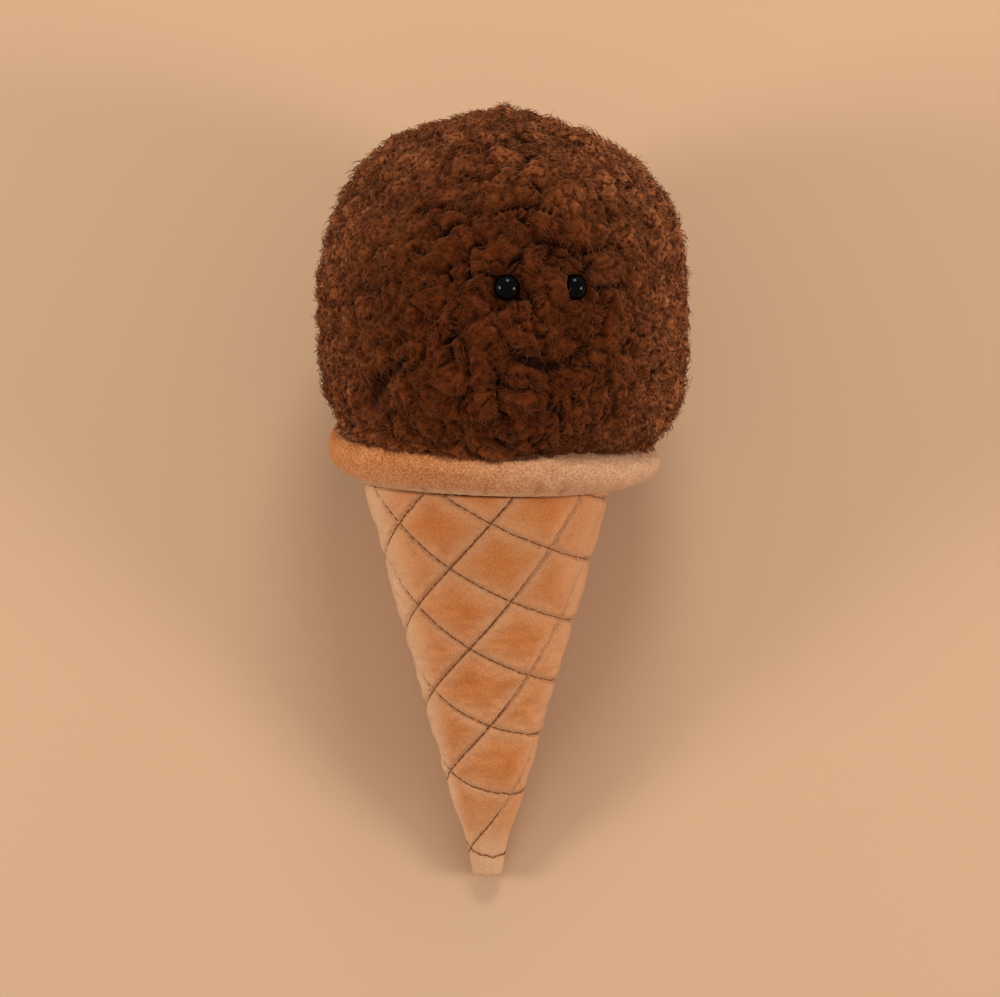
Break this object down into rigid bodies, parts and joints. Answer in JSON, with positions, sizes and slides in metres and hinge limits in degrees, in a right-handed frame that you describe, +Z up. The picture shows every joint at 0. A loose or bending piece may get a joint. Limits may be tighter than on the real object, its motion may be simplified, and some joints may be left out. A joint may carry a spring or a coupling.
{
  "type": "plush ice cream cone",
  "caption": "Stuffed toy ice cream cone: a curly fleece scoop with bead eyes, a padded rim and a quilted velour cone, lying on its back.",
  "frame": {"origin": "middle of the toy's footprint, on the surface that it lies on", "axes": "+Z up, out of the toy's face side; +Y along the toy from the cone's tip to the scoop's crown; +X to the right as its face is looked at"},
  "size_m": [0.0878, 0.1738, 0.0876],
  "materials": {
    "scoop_fleece": "long curly brown pile, matt",
    "rim_velour": "short tan velour pile, soft sheen",
    "cone_velour": "short tan velour pile, quilted in diamonds, soft sheen",
    "eye_bead": "black, polished",
    "thread": "dark brown sewing thread, matt"
  },
  "bodies": {
    "root": {"scoop": "scoop_fleece", "rim": "rim_velour", "cone": "cone_velour", "eye_left": "eye_bead", "eye_right": "eye_bead", "mouth": "thread"}
  },
  "joints": []
}
